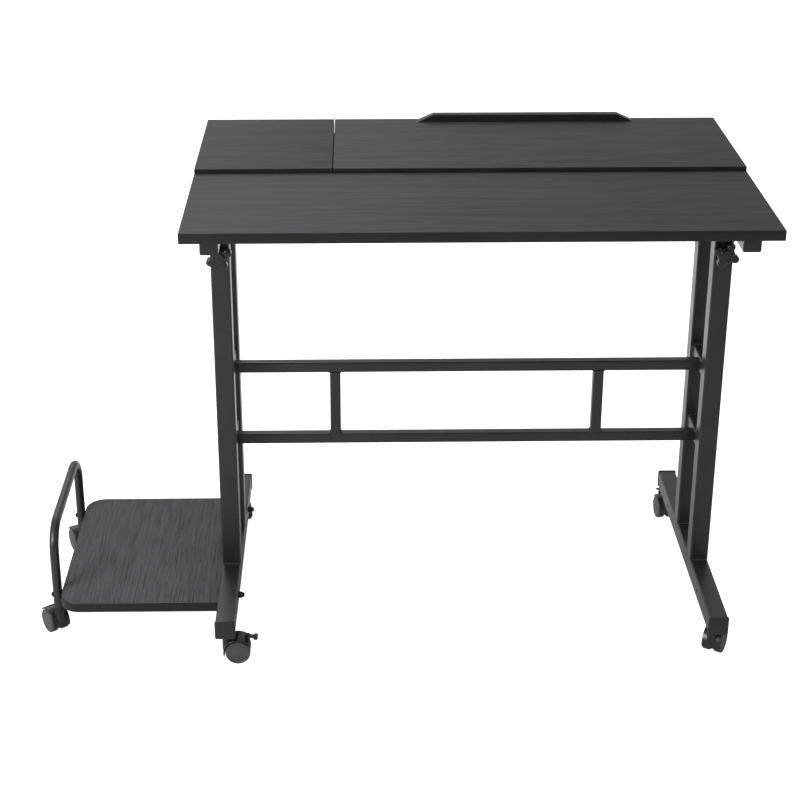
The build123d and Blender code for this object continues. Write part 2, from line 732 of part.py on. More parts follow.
def make_tilt_board():
    tilt = board((tilt_left, tilt_right), (rear_board_front, far_edge), rear_bottom, board_thickness)
    ledge = paper_ledge()
    screws = []
    fixed_leaves = hinge_leaves(True)
    moving_leaves = hinge_leaves(False)
    for x, y in leaf_screw_places(fixed=False):
        screw = leaf_screw(x, y, rear_bottom - hinge_leaf, rear_bottom + screw_bite)
        screws.append(screw)
        tilt -= screw
        moving_leaves = [leaf - screw for leaf in moving_leaves]
    for x, y in leaf_screw_places(fixed=True):
        screw = leaf_screw(x, y, board_bottom + hinge_leaf, board_bottom - leaf_screw_bite)
        fixed_leaves = [leaf - screw for leaf in fixed_leaves]
    seat = rear_bottom + screw_head_height
    board_top = rear_bottom + board_thickness
    y = far_edge - ledge_setback - ledge_thickness / 2
    for sign in (-1, 1):
        x = ledge_middle + sign * ledge_length / 3
        screw = upward_screw(x, y, seat, board_top + ledge_screw_bite)
        screws.append(screw)
        tilt -= screw
        ledge -= screw
    nodes["tilt_board"] = [tilt]
    nodes["paper_ledge"] = [ledge]
    nodes["tilt_screws"] = screws
    nodes["hinge_fixed_leaves"] = fixed_leaves
    nodes["hinge_moving_leaves"] = moving_leaves
    half = hinge_length / 2
    pins = [rod(hinge_pin, (x - half, pin_y, pin_z), (x + half, pin_y, pin_z)) for x in hinge_xs]
    nodes["hinge_pins"] = pins


def paper_ledge():
    """Low stop along the far edge, with sloping ends and a rounded top."""
    half = ledge_length / 2
    bottom = rear_bottom + board_thickness
    outline = Polyline(
        (ledge_middle - half, bottom),
        (ledge_middle + half, bottom),
        (ledge_middle + half - ledge_end_slope, bottom + ledge_height),
        (ledge_middle - half + ledge_end_slope, bottom + ledge_height),
        close=True,
    )
    far_face = far_edge - ledge_setback
    bar = Pos(0, far_face, 0) * extrude(Plane.XZ * make_face(outline), amount=ledge_thickness)
    top_corners = bar.edges().filter_by(Axis.Y).group_by(Axis.Z)[-1]
    bar = fillet(top_corners, ledge_corner_round)
    rims = [edge for edge in bar.edges() if edge.bounding_box().min.Z > bottom + 0.01]
    return fillet([edge for edge in rims if edge.bounding_box().size.Y < 0.01], ledge_edge_round)


# ---------------------------------------------------------------- assembly and output
make_feet()
make_uprights()
make_stretcher()
make_shelf()
make_casters()
make_knobs()
make_top_frame()
make_tilt_board()

whole = Compound([solid for solids in nodes.values() for solid in solids]).bounding_box()
shift = Vector(-(whole.min.X + whole.max.X) / 2, -(whole.min.Y + whole.max.Y) / 2, -whole.min.Z)

os.makedirs("parts", exist_ok=True)
for name, solids in nodes.items():
    placed = [Pos(*shift) * solid for solid in solids]
    export_step(placed[0] if len(placed) == 1 else Compound(placed), f"parts/{name}.step")

print(f"{len(nodes)} nodes, size {whole.size.X:.2f} x {whole.size.Y:.2f} x {whole.size.Z:.2f} mm")
print(f"shift of the desk's middle: {shift.X:.3f}, {shift.Y:.3f}, {shift.Z:.3f}")
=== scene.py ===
# %% [markdown]
# # Dressing a rolling drafting desk
# The desk is a steel frame with melamine-faced boards on top, a low shelf for a computer at its left and
# six twin-wheel casters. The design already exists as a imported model, and this lesson never moves it: the
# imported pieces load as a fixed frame, and everything made here takes its place from that frame.

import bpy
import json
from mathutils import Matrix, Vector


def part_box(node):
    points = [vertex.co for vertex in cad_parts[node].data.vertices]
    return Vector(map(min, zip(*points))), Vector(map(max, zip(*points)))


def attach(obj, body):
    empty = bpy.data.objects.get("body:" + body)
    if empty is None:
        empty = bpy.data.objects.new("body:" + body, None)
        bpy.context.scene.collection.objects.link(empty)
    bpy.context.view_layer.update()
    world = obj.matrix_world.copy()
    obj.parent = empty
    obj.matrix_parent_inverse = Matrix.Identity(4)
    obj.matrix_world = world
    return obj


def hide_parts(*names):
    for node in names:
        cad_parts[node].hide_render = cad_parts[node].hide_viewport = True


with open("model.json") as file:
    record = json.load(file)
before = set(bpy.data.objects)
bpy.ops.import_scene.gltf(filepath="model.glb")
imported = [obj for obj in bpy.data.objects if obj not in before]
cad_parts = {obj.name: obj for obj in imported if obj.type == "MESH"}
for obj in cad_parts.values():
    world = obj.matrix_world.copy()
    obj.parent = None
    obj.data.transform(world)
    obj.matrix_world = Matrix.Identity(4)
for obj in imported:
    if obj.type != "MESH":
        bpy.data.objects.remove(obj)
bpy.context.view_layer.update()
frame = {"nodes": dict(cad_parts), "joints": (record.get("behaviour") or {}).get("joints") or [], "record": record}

# %% Tools and units
import json
from math import acos, atan2, cos, degrees, pi, radians, sin, sqrt

import bmesh
import bpy
from mathutils import Matrix, Vector

MM = 0.001
scene = bpy.context.scene
joints = {joint["name"]: joint for joint in frame["joints"]}

# %% [markdown]
# ## Reading the frame
# Several alike pieces, such as the four collars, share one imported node. Their separate boxes are found by
# joining triangles that share a corner, so no size has to be typed in twice.

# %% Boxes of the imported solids
def solid_boxes(node):
    """(lowest, highest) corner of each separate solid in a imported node, from left to right."""
    mesh = frame["nodes"][node].data
    keys = [tuple(round(c / (0.002 * MM)) for c in vertex.co) for vertex in mesh.vertices]
    parent = {key: key for key in keys}

    def root(key):
        while parent[key] != key:
            parent[key] = parent[parent[key]]
            key = parent[key]
        return key

    for polygon in mesh.polygons:
        first = root(keys[polygon.vertices[0]])
        for index in polygon.vertices[1:]:
            parent[root(keys[index])] = first
    groups = {}
    for vertex, key in zip(mesh.vertices, keys):
        groups.setdefault(root(key), []).append(vertex.co)
    boxes = []
    for corners in groups.values():
        low = Vector(min(c[i] for c in corners) for i in range(3))
        high = Vector(max(c[i] for c in corners) for i in range(3))
        boxes.append((low, high))
    return sorted(boxes, key=lambda box: tuple(box[0]))


near_low, near_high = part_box("front_board")
far_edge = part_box("rear_left_board")[1].y
desk_middle = Vector(((near_low.x + near_high.x) / 2, (near_low.y + far_edge) / 2, 0))
print("middle of the desk:", [round(c, 4) for c in desk_middle])

# %% [markdown]
# ## Finishing a piece
# Each piece is built as a bmesh at its real place. One helper turns it into an object: it merges doubles,
# turns the faces outwards, shades it smooth except at hard edges, and ties it to the body that it moves
# with.

# %% One way to finish every piece
def finish_piece(name, shape, materials, body, replaced=(), hard_edge=32):
    """Makes the object of a bmesh whose faces already carry their material's index."""
    bmesh.ops.remove_doubles(shape, verts=shape.verts, dist=0.001 * MM)
    bmesh.ops.recalc_face_normals(shape, faces=shape.faces)
    mesh = bpy.data.meshes.new(name)
    shape.to_mesh(mesh)
    shape.free()
    for material in materials:
        mesh.materials.append(material)
    mesh.shade_smooth()
    mesh.set_sharp_from_angle(angle=radians(hard_edge))
    piece = bpy.data.objects.new(name, mesh)
    scene.collection.objects.link(piece)
    return tie(piece, body, replaced)


def tie(piece, body, replaced=()):
    """Makes a finished piece ride on its body, in place of the nodes it stands for."""
    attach(piece, body)
    if replaced:
        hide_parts(*replaced)
    print(f"{piece.name}: {len(piece.data.polygons)} faces on {body}")
    return piece


# %% [markdown]
# ## Colours and nodes
# Paint charts give colours as sRGB hex values, but shaders work in linear light, so one function converts
# them. Another adds a node with its settings and links, which keeps each material short enough to read at a
# glance.

# %% Helpers for materials
def linear(hex_colour):
    """sRGB hex to the linear colour that a shader takes."""
    channels = [int(hex_colour[i:i + 2], 16) / 255 for i in (1, 3, 5)]
    return (*[c / 12.92 if c <= 0.04045 else ((c + 0.055) / 1.055) ** 2.4 for c in channels], 1.0)


def add(tree, kind, settings=None, links=None):
    """Adds a node. Settings go to its sockets by name or number, or else to its properties."""
    node = tree.nodes.new(kind)
    for name, value in (settings or {}).items():
        if isinstance(name, int) or name in node.inputs:
            node.inputs[name].default_value = value
        else:
            setattr(node, name, value)
    for name, source in (links or {}).items():
        tree.links.new(source, node.inputs[name])
    return node


def calc(tree, operation, *values):
    """The output of a Math node. Each value is a number or another node's output."""
    node = add(tree, "ShaderNodeMath", {"operation": operation})
    for i, value in enumerate(values):
        if isinstance(value, (int, float)):
            node.inputs[i].default_value = value
        else:
            tree.links.new(value, node.inputs[i])
    return node.outputs[0]


def remap(tree, source, given=(0.0, 1.0), wanted=(0.0, 1.0)):
    """Stretches a value from the given range to the wanted one."""
    limits = {"From Min": given[0], "From Max": given[1], "To Min": wanted[0], "To Max": wanted[1]}
    return add(tree, "ShaderNodeMapRange", limits, {"Value": source}).outputs["Result"]


def bump(tree, height, strength, depth_mm):
    settings = {"Strength": strength, "Distance": depth_mm * MM}
    return add(tree, "ShaderNodeBump", settings, {"Height": height}).outputs[0]


def new_surface(name, **constants):
    """A material with its tree, its shader with constant settings, and the piece's own coordinates."""
    material = bpy.data.materials.new(name)
    material.use_nodes = True
    tree = material.node_tree
    shader = tree.nodes["Principled BSDF"]
    for socket, value in constants.items():
        shader.inputs[socket.replace("_", " ")].default_value = value
    return material, tree, shader, add(tree, "ShaderNodeTexCoord").outputs["Object"]


# %% [markdown]
# ## Melamine board
# The tops are particle board faced with melamine paper: black, pressed against an embossed plate, so that
# fine oak pores run along each board and catch the light. Real pores are about 0.3 mm wide. They are drawn
# over 1 mm wide here, because finer ones would vanish. Long stretched noise gives them, with a broader
# figure beneath.

# %% Melamine, with its grain along X or Y
def melamine(name, along, dark="#1c1d1e", light="#48494a"):
    pore_width, pore_length = 1.3, 60.0
    figure_width, figure_length = 11.0, 420.0
    material, tree, shader, places = new_surface(name, IOR=1.5, Specular_IOR_Level=0.28)

    def grain(width, length, detail, distortion):
        lengths = {"X": (length, width, width), "Y": (width, length, width)}[along]
        scale = [1 / (size * MM) for size in lengths]
        stretched = add(tree, "ShaderNodeMapping", {"Scale": scale}, {"Vector": places})
        settings = {"Scale": 1.0, "Detail": detail, "Roughness": 0.6, "Distortion": distortion}
        return add(tree, "ShaderNodeTexNoise", settings, {"Vector": stretched.outputs[0]}).outputs["Fac"]

    pores = remap(tree, grain(pore_width, pore_length, 3, 0.25), (0.36, 0.56))
    figure = remap(tree, grain(figure_width, figure_length, 2, 0.8), (0.3, 0.7))
    share = calc(tree, "MULTIPLY_ADD", figure, 0.25, calc(tree, "MULTIPLY", pores, 0.75))
    colours = {"data_type": "RGBA", 6: linear(dark), 7: linear(light)}
    tone = add(tree, "ShaderNodeMix", colours, {0: share}).outputs[2]
    gloss = remap(tree, pores, wanted=(0.55, 0.72))
    relief = bump(tree, pores, 0.35, 0.12)
    tree.links.new(tone, shader.inputs["Base Color"])
    tree.links.new(gloss, shader.inputs["Roughness"])
    tree.links.new(relief, shader.inputs["Normal"])
    print("melamine", name, "grain along", along)
    return material


top_melamine = melamine("melamine_black_oak_along_X", "X")
# The shelf's copy takes lighter colours than the tops': a painted sheen, standing in for the brighter reflection
# that the shelf catches.
shelf_melamine_painted_sheen = melamine("melamine_black_oak_along_Y_painted_sheen", "Y", "#222324", "#515253")


# %% [markdown]
# ## Four moulded and painted finishes
# Powder coat melts into a skin with a faint orange peel, about 1.5 mm from crest to crest. Moulded ABS
# copies a spark-eroded mould, with a far finer dimple. PVC edging is extruded, so it is smooth with long
# drawn lines. They differ in colour, gloss, grain size and depth only, so one function makes them all.

# %% Black finishes with a fine skin
def black_skin(name, dark, light, gloss, grain_mm, depth_mm, stretch=(1, 1, 1), patch_mm=60.0, **constants):
    """gloss is the range of roughness, grain_mm the size of a dimple, patch_mm that of faint clouds."""
    material, tree, shader, places = new_surface(name, **constants)
    spread = add(tree, "ShaderNodeMapping", {"Scale": stretch}, {"Vector": places}).outputs[0]
    fine = {"Scale": 1 / (grain_mm * MM), "Detail": 2.0, "Roughness": 0.5}
    dimples = add(tree, "ShaderNodeTexNoise", fine, {"Vector": spread}).outputs["Fac"]
    broad = {"Scale": 1 / (patch_mm * MM), "Detail": 3.0, "Roughness": 0.6}
    clouds = add(tree, "ShaderNodeTexNoise", broad, {"Vector": places}).outputs["Fac"]
    share = remap(tree, calc(tree, "MULTIPLY_ADD", dimples, 0.5, clouds), (0.55, 0.95))
    colours = {"data_type": "RGBA", 6: linear(dark), 7: linear(light)}
    tone = add(tree, "ShaderNodeMix", colours, {0: share}).outputs[2]
    roughness = remap(tree, clouds, (0.3, 0.7), gloss)
    relief = bump(tree, dimples, 0.5, depth_mm)
    tree.links.new(tone, shader.inputs["Base Color"])
    tree.links.new(roughness, shader.inputs["Roughness"])
    tree.links.new(relief, shader.inputs["Normal"])
    print("finish", name)
    return material


powder_coat = black_skin("polyester_powder_coat", "#1c1c1d", "#242425", (0.3, 0.4), 1.5, 0.05)
moulded_abs = black_skin("moulded_abs_black", "#161617", "#1f1f20", (0.24, 0.36), 0.6, 0.04, patch_mm=18)
pvc_edging = black_skin(
    "extruded_pvc_edging", "#131314", "#1b1b1c", (0.36, 0.46), 0.9, 0.03,
    stretch=(0.04, 0.04, 1), patch_mm=90, Specular_IOR_Level=0.35,
)
wheel_nylon = black_skin("moulded_nylon_wheel", "#39393a", "#474748", (0.4, 0.55), 0.7, 0.04, patch_mm=14)
ledge_paint = black_skin("satin_lacquer_black", "#101011", "#161617", (0.3, 0.42), 1.2, 0.03)
pad_rubber = black_skin("moulded_rubber_matt", "#252525", "#303030", (0.75, 0.9), 0.8, 0.06, patch_mm=10)
packing_board = black_skin("fibreboard_painted_black", "#2a2826", "#373431", (0.7, 0.85), 0.9, 0.12)
blackened_steel = black_skin(
    "black_oxide_steel", "#2b2b2d", "#3a3a3c", (0.32, 0.46), 0.5, 0.02, patch_mm=6, Metallic=0.7
)


# %% [markdown]
# ## Zinc-plated steel
# Stems, axles, studs and hinges are mild steel with a thin bright zinc coat: grey, slightly blue, and
# mottled where the bath left its spangle. Metal is metallic 1 with the default IOR, and its gloss varies
# with the mottle.

# %% Zinc plate
def zinc_plate():
    spangle_mm, scratch_mm = 2.5, 0.25
    material, tree, shader, places = new_surface("zinc_plated_steel", Metallic=1.0)
    spangle = {"Scale": 1 / (spangle_mm * MM)}
    cells = add(tree, "ShaderNodeTexVoronoi", spangle, {"Vector": places}).outputs["Distance"]
    drawn = add(tree, "ShaderNodeMapping", {"Scale": (1, 1, 0.1)}, {"Vector": places}).outputs[0]
    fine = {"Scale": 1 / (scratch_mm * MM)}
    scratches = add(tree, "ShaderNodeTexNoise", fine, {"Vector": drawn}).outputs["Fac"]
    colours = {"data_type": "RGBA", 6: linear("#a3a6a8"), 7: linear("#c4c6c8")}
    tone = add(tree, "ShaderNodeMix", colours, {0: cells}).outputs[2]
    roughness = remap(tree, scratches, wanted=(0.24, 0.42))
    relief = bump(tree, scratches, 0.3, 0.01)
    tree.links.new(tone, shader.inputs["Base Color"])
    tree.links.new(roughness, shader.inputs["Roughness"])
    tree.links.new(relief, shader.inputs["Normal"])
    return material


zinc = zinc_plate()
print("finish", zinc.name)

# %% [markdown]
# ## Outlines and shapes
# Most pieces here are either a flat outline given a thickness, or a profile turned about an axis. Two
# helpers build them as closed shells, and a third gives arcs, so that no outline is typed in point by
# point.

# %% Arcs, slabs and turned shapes
def arc(centre, radius, start, end, steps):
    """Points along an arc, angles in degrees."""
    angles = [radians(start + (end - start) * i / steps) for i in range(steps + 1)]
    return [(centre[0] + radius * cos(a), centre[1] + radius * sin(a)) for a in angles]


def ring(shape, points):
    return [shape.verts.new(point) for point in points]


def bridge(shape, first, second, material=0):
    """Faces between two rings with the same number of points."""
    for i in range(len(first)):
        j = (i + 1) % len(first)
        face = shape.faces.new((first[i], first[j], second[j], second[i]))
        face.material_index = material


def loft(shape, rings, material=0):
    """A closed shell through rings of points, with its two ends filled in."""
    rows = [ring(shape, points) for points in rings]
    for first, second in zip(rows, rows[1:]):
        bridge(shape, first, second, material)
    for end in (rows[0], rows[-1]):
        shape.faces.new(end).material_index = material
    return rows


def inset_rings(outline, profile, place):
    """The outline once for each (inset, height) of the profile, moved inward by the inset."""
    count = len(outline)
    inward = []
    for i in range(count):
        along = Vector(outline[(i + 1) % count]) - Vector(outline[i - 1])
        inward.append(Vector((-along.y, along.x)).normalized())
    rings = []
    for inset, height in profile:
        points = [(p[0] + n.x * inset, p[1] + n.y * inset, height) for p, n in zip(outline, inward)]
        rings.append([place @ Vector(point) for point in points])
    return rings


def slab(shape, outline, low, high, edge, steps=3, place=Matrix(), material=0):
    """An outline in X and Y, thickened from low to high, with rounded rims of radius edge."""
    profile = []
    for i in range(steps + 1):
        angle = pi / 2 * i / steps
        profile.append((edge * (1 - sin(angle)), low + edge * (1 - cos(angle))))
    profile += [(inset, high + low - z) for inset, z in reversed(profile)]
    return loft(shape, inset_rings(outline, profile, place), material)


def turned(shape, profile, place=Matrix(), turns=40, material=0):
    """A profile of (height, radius) turned about Z. A radius of 0 at an end closes it in a point."""
    rows = []
    for height, radius in profile:
        if radius == 0:
            rows.append([shape.verts.new(place @ Vector((0, 0, height)))])
            continue
        spots = arc((0, 0), radius, 0, 360, turns)[:-1]
        rows.append(ring(shape, [place @ Vector((x, y, height)) for x, y in spots]))
    for first, second in zip(rows, rows[1:]):
        if len(first) == 1 or len(second) == 1:
            point, rim = (first[0], second) if len(first) == 1 else (second[0], first)
            for i in range(turns):
                shape.faces.new((point, rim[i], rim[(i + 1) % turns])).material_index = material
        else:
            bridge(shape, first, second, material)


def rounded_box(shape, low, high, edge, place=Matrix(), material=0):
    """A box with all its edges rounded."""
    before = set(shape.faces)
    corners = [(x, y, z) for x in (low[0], high[0]) for y in (low[1], high[1]) for z in (low[2], high[2])]
    v = [shape.verts.new(place @ Vector(corner)) for corner in corners]
    sides = [(0, 1, 3, 2), (4, 6, 7, 5), (0, 4, 5, 1), (2, 3, 7, 6), (0, 2, 6, 4), (1, 5, 7, 3)]
    faces = [shape.faces.new([v[i] for i in side]) for side in sides]
    edges = list({e for face in faces for e in face.edges})
    bmesh.ops.bevel(shape, geom=edges, offset=edge, segments=2, profile=0.5, affect="EDGES")
    for face in set(shape.faces) - before:
        face.material_index = material


print("shape helpers ready")

# %% [markdown]
# ## The boards
# Each board has two different skins: melamine on its wide faces and PVC edging round its sides, whose rim
# is scraped to a small radius. A separate shell for each board keeps the hairline gap between the two rear
# ones.

# %% Boards with edging
def board(name, node, body, face_material, round_left=0.0, edge=1.0 * MM):
    """A board that fills its packed box. round_left rounds its two left corners."""
    low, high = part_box(node)
    outline = [(high.x, low.y), (high.x, high.y)]
    if round_left:
        outline += arc((low.x + round_left, high.y - round_left), round_left, 90, 180, 12)
        outline += arc((low.x + round_left, low.y + round_left), round_left, 180, 270, 12)
    else:
        outline += [(low.x, high.y), (low.x, low.y)]
    shape = bmesh.new()
    slab(shape, outline, low.z, high.z, edge, steps=4, material=1)
    for face in shape.faces:
        face.normal_update()
        if abs(face.normal.z) > 0.999:
            face.material_index = 0
    skins = [face_material, pvc_edging]
    return finish_piece(name, shape, skins, body, [node], hard_edge=60)


shelf_corner = 30 * MM
board("near_board", "front_board", "top", top_melamine)
board("left_board", "rear_left_board", "top", top_melamine)
board("drafting_board", "tilt_board", "tilting_board", top_melamine)
board("computer_shelf", "cpu_shelf", "base", shelf_melamine_painted_sheen, round_left=shelf_corner)

# %% [markdown]
# ## Painted steel
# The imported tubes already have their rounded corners, open ends and bolt holes, so they stay as they are
# and take a better finish. The same goes for the hinges, spacers and other plain pieces.

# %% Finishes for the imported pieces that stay
finish_of_slot = {
    "black_powder_coat": powder_coat,
    "black_plastic": moulded_abs,
    "zinc_steel": zinc,
    "bumper_rubber": pad_rubber,
    "fibreboard": packing_board,
    "black_laminate": ledge_paint,
    "wheel_nylon": wheel_nylon,
}
for subpart in frame["record"]["subparts"]:
    packed = frame["nodes"][subpart["node"]]
    packed.data.materials.clear()
    packed.data.materials.append(finish_of_slot[subpart["material_slot"]])
print("finishes set on", len(frame["nodes"]), "packed pieces")

# %% [markdown]
# ## The guard hoop
# A 14 mm tube is bent twice round a former of 40 mm radius. Its middle line is two straight legs, two arcs
# and a straight bar. Carrying a ring of points along that line, outside and then back inside, gives a
# closed tube with a real wall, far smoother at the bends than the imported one.

# %% Guard hoop
def guard_hoop(bend=40 * MM, wall=1.5 * MM, turns=28):
    low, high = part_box("shelf_guard")
    radius = (high.x - low.x) / 2
    x = (low.x + high.x) / 2
    near, far = low.y + radius, high.y - radius
    bar = high.z - radius
    middle_line = [(near, low.z)]
    middle_line += arc((near + bend, bar - bend), bend, 180, 90, 14)
    middle_line += arc((far - bend, bar - bend), bend, 90, 0, 14)
    middle_line.append((far, low.z))
    shape = bmesh.new()
    shells = []
    for tube_radius in (radius, radius - wall):
        rows = []
        for i, (y, z) in enumerate(middle_line):
            before = Vector(middle_line[max(i - 1, 0)])
            after = Vector(middle_line[min(i + 1, len(middle_line) - 1)])
            along = (after - before).normalized()
            across = Vector((0, -along.y, along.x))
            angles = [2 * pi * k / turns for k in range(turns)]
            centre = Vector((x, y, z))
            spokes = [cos(a) * Vector((1, 0, 0)) + sin(a) * across for a in angles]
            rows.append(ring(shape, [centre + tube_radius * spoke for spoke in spokes]))
        for first, second in zip(rows, rows[1:]):
            bridge(shape, first, second)
        shells.append(rows)
    for end in (0, -1):
        bridge(shape, shells[0][end], shells[1][end])
    return finish_piece("guard_hoop", shape, [powder_coat], "base", ["shelf_guard"])


guard_hoop()

# %% [markdown]
# ## End caps
# Moulded caps close the feet and the rails. A cap has a slightly pillowed face and a rounded rim, and it
# stands a little proud of the feet. Collars sit on the uprights and guide the inner legs.

# %% Square moulded pieces
def rounded_square(half, corner, steps=5):
    inner = half - corner
    points = []
    for turn, (sx, sy) in enumerate(((1, 1), (-1, 1), (-1, -1), (1, -1))):
        points += arc((sx * inner, sy * inner), corner, 90 * turn, 90 * turn + 90, steps)
    return points


def end_cap(shape, x, y, z, outward, half, flange, plug_half, plug_depth=10 * MM):
    """A cap on a tube along Y. It is lofted in steps from its plug to the crown of its face."""
    corner, rim = 2.5 * MM, 1.2 * MM
    crown = flange * 0.3
    steps = [(-plug_depth, plug_half, 1.0 * MM), (0, plug_half, 1.0 * MM), (0, half, corner)]
    for size, depth in arc((half - rim, flange - crown - rim), rim, 0, 90, 4):
        steps.append((depth, size, corner))
    steps += [(flange - crown * 0.35, half * 0.6, corner * 0.7), (flange, half * 0.2, corner * 0.3)]
    rings = []
    for depth, size, round_corner in steps:
        outline = rounded_square(size, round_corner)
        rings.append([(x + px, y + outward * depth, z + pz) for px, pz in outline])
    loft(shape, rings)


def end_caps(name, node, tubes, body, flange, wall=1.5 * MM):
    shape = bmesh.new()
    cap_low, cap_high = solid_boxes(node)[0]
    half = (cap_high.x - cap_low.x) / 2
    for tube in tubes:
        low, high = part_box(tube)
        x, z = (low.x + high.x) / 2, (low.z + high.z) / 2
        plug_half = (high.x - low.x) / 2 - wall
        for outward, y in ((-1, low.y), (1, high.y)):
            end_cap(shape, x, y, z, outward, half, flange, plug_half)
    return finish_piece(name, shape, [moulded_abs], body, [node], hard_edge=40)


foot_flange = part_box("foot_end_caps")[1].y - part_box("left_foot")[1].y
rail_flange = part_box("rail_end_caps")[1].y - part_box("left_rail")[1].y
end_caps("foot_caps", "foot_end_caps", ("left_foot", "right_foot"), "base", foot_flange)
end_caps("rail_caps", "rail_end_caps", ("left_rail", "right_rail"), "top", rail_flange)

# %% [markdown]
# ## Star knobs
# A clamping knob is moulded ABS round a steel stud. Its outline is four lobes joined by hollows, all of
# them arcs tangent to each other, so the outline follows from three radii. The rims are rounded ring by
# ring, then a round boss with a shallow dish finishes the front.

# %% Knob outline
def knob_outline(turn, core=12.5 * MM, reach=14 * MM, lobe=6 * MM, hollow=3 * MM):
    """Four lobes round a core. The hollow is an arc tangent to both, found with the law of cosines."""
    to_hollow = core + hollow
    between = lobe + hollow
    at_core = degrees(acos((to_hollow**2 + reach**2 - between**2) / (2 * to_hollow * reach)))
    at_lobe = 180 - degrees(acos((between**2 + reach**2 - to_hollow**2) / (2 * between * reach)))
    points = []
    for i in range(4):
        aim = turn + 90 * i
        centre = (reach * cos(radians(aim)), reach * sin(radians(aim)))
        points += arc(centre, lobe, aim - at_lobe, aim + at_lobe, 12)[:-1]
        side = aim + at_core
        hollow_centre = (to_hollow * cos(radians(side)), to_hollow * sin(radians(side)))
        points += arc(hollow_centre, hollow, aim + at_lobe + 180, side + 180, 5)[:-1]
        points += arc((0, 0), core, side, aim + 90 - at_core, 3)[:-1]
        side = aim + 90 - at_core
        hollow_centre = (to_hollow * cos(radians(side)), to_hollow * sin(radians(side)))
        points += arc(hollow_centre, hollow, side + 180, aim + 90 - at_lobe + 180, 5)[:-1]
    return points


# %% Knobs
def star_knob(name, turn, thickness=12 * MM, boss_radius=9 * MM, boss_height=3 * MM):
    nut, air = 6 * MM, 2 * MM
    joint = joints[f"knob_{name}_turn"]
    outward = Vector(joint["axis"]).normalized()
    pivot = Vector(joint["pos_m"])
    side = Vector((0, 0, 1)).cross(outward)
    place = Matrix((side, Vector((0, 0, 1)), outward)).transposed().to_4x4()
    low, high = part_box(f"knob_{name}")
    tip = low.y if outward.y < 0 else high.y
    face = tip - outward.y * (boss_height + thickness + air + nut)
    place.translation = Vector((pivot.x, face, pivot.z))
    outline = knob_outline(turn)
    shape = bmesh.new()
    back = nut + air
    front = back + thickness
    rim = 2.4 * MM
    profile = [(1.2 * MM, back), (0.4 * MM, back + 0.3 * MM), (0, back + 1.2 * MM), (0, front - rim)]
    for angle in (22, 45, 68, 90):
        profile.append((rim * (1 - cos(radians(angle))), front - rim * (1 - sin(radians(angle)))))
    rings = inset_rings(outline, profile, place)
    bearings = [atan2(p[1], p[0]) for p in outline]
    top = front + boss_height
    dish = [
        (boss_radius + 0.6 * MM, front), (boss_radius, front + 0.4 * MM),
        (boss_radius, top - 0.8 * MM), (boss_radius - 0.25 * MM, top - 0.25 * MM),
        (boss_radius - 0.9 * MM, top), (boss_radius - 2.2 * MM, top),
        (boss_radius - 2.7 * MM, top - 0.6 * MM), (boss_radius * 0.35, top - 0.5 * MM),
        (boss_radius * 0.05, top - 0.45 * MM),
    ]
    for radius, height in dish:
        rings.append([place @ Vector((radius * cos(b), radius * sin(b), height)) for b in bearings])
    loft(shape, rings)
    stud_radius, pitch, thread_depth = 4 * MM, 1.25 * MM, 0.5 * MM
    stud_start = low.y if outward.y > 0 else high.y
    start = (stud_start - face) * outward.y
    thread = [(start, 0), (start, stud_radius - thread_depth)]
    for i in range(int((back - start) / pitch)):
        thread.append((start + pitch * (i + 0.5), stud_radius))
        thread.append((start + pitch * (i + 1), stud_radius - thread_depth))
    thread += [(back + 1 * MM, stud_radius - thread_depth), (back + 1 * MM, 0)]
    turned(shape, thread, place, 24, material=1)
    body = f"knob_{name}"
    return finish_piece(f"{body}_star", shape, [moulded_abs, zinc], body, [body])


for knob, turn in (("front_left", 28), ("front_right", 64), ("rear_left", 40), ("rear_right", 10)):
    star_knob(knob, turn)

# %% [markdown]
# ## Casters
# A furniture caster is two nylon wheels on one steel axle, under a moulded hood with a neck for the stem.
# Every part is laid out in the caster's own frame: stem at the origin, wheels trailing along X. The joint
# that turns the caster gives its place, and the wheels' box gives the way that it trails.

# %% Where each caster stands
wheel_radius = 18.5 * MM
wheel_width = 11.3 * MM
web = 5 * MM
wheel_inner = web / 2 + 0.7 * MM
wheel_outer = wheel_inner + wheel_width
wheel_axle_radius = 2.5 * MM
trail = 16 * MM
brake_pivot = (31 * MM, 38.5 * MM)  # along the trail and up
brake_knuckle = 2.7 * MM
axle_place = Matrix.Translation((trail, 0, wheel_radius)) @ Matrix.Rotation(pi / 2, 4, "X")


def caster_place(name):
    stem = Vector(joints[f"caster_{name}_swivel_turn"]["pos_m"])
    axle = Vector(joints[f"caster_{name}_roll"]["pos_m"])
    turn = atan2(axle.y - stem.y, axle.x - stem.x)
    return Matrix.Translation((stem.x, stem.y, 0)) @ Matrix.Rotation(turn, 4, "Z")


casters = [name[len("caster_"):-len("_roll")] for name in joints if name.endswith("_roll")]
print("casters:", casters)

# %% [markdown]
# A wheel is a turned shape. Its tread is slightly crowned and its outer face is a shallow dish inside a
# raised rim, with a low hub in the middle, which is where nylon wheels are gated and pressed on.

